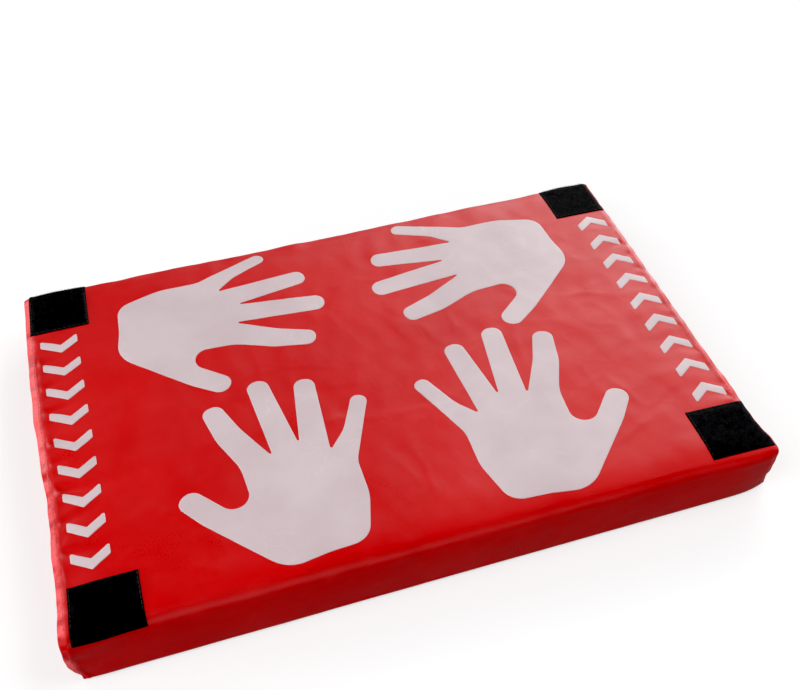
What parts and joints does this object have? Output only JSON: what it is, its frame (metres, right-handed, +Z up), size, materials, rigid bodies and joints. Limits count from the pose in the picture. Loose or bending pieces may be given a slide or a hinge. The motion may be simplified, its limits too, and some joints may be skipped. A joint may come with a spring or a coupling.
{
  "type": "hand-print gymnastics mat",
  "caption": "Small padded floor mat with a zipped vinyl cover, printed hands on top, chevron rows at both ends and a hook-and-loop square in each corner.",
  "frame": {"origin": "centre of the mat's footprint, on the floor it lies on", "axes": "+X along the long side, +Y across the mat to the zipped long side, +Z up"},
  "size_m": [0.6, 0.4043, 0.052],
  "materials": {
    "cover_vinyl": "satin",
    "base_antislip": "matte",
    "foam_firm": "matte",
    "foam_soft": "matte",
    "print_ink": "satin",
    "hook_tape": "matte",
    "thread_red": "satin",
    "thread_black": "satin",
    "zip_tape": "matte",
    "zip_teeth": "satin",
    "zip_metal": "satin"
  },
  "bodies": {
    "mat": {"cover_wrap": "cover_vinyl", "cover_back_strip": "cover_vinyl", "cover_end_left": "cover_vinyl", "cover_end_right": "cover_vinyl", "cover_base": "base_antislip", "foam_upper": "foam_firm", "foam_lower": "foam_soft", "end_seam_thread_left": "thread_red", "end_seam_thread_right": "thread_red", "base_seam_thread": "thread_red", "zip_seam_thread": "thread_red", "hook_patch_back_left": "hook_tape", "hook_patch_back_right": "hook_tape", "hook_patch_front_left": "hook_tape", "hook_patch_front_right": "hook_tape", "patch_thread_back_left": "thread_black", "patch_thread_back_right": "thread_black", "patch_thread_front_left": "thread_black", "patch_thread_front_right": "thread_black", "hand_print_back_left": "print_ink", "hand_print_back_right": "print_ink", "hand_print_front_left": "print_ink", "hand_print_front_right": "print_ink", "marking_strip_left": "print_ink", "marking_strip_right": "print_ink", "zip_tape_upper": "zip_tape", "zip_tape_lower": "zip_tape", "zip_teeth_upper": "zip_teeth", "zip_teeth_lower": "zip_teeth", "zip_top_stops": "zip_teeth", "zip_bottom_stop": "zip_teeth", "zip_end_tab_left": "cover_vinyl", "zip_end_tab_right": "cover_vinyl"},
    "slider": {"slider_body": "zip_metal", "slider_crown": "zip_metal"},
    "pull": {"pull_tab": "zip_metal"}
  },
  "joints": [
    {"name": "zip_slide", "type": "slide", "parent": "mat", "child": "slider", "axis": [-1, 0, 0], "range_m": [0, 0.52], "deforming": ["zip_teeth_upper", "zip_teeth_lower"]},
    {"name": "pull_swing", "type": "hinge", "parent": "slider", "child": "pull", "pos_m": [0.262, 0.20215, 0.025], "axis": [0, 0, 1], "range_deg": [0, 180]}
  ]
}
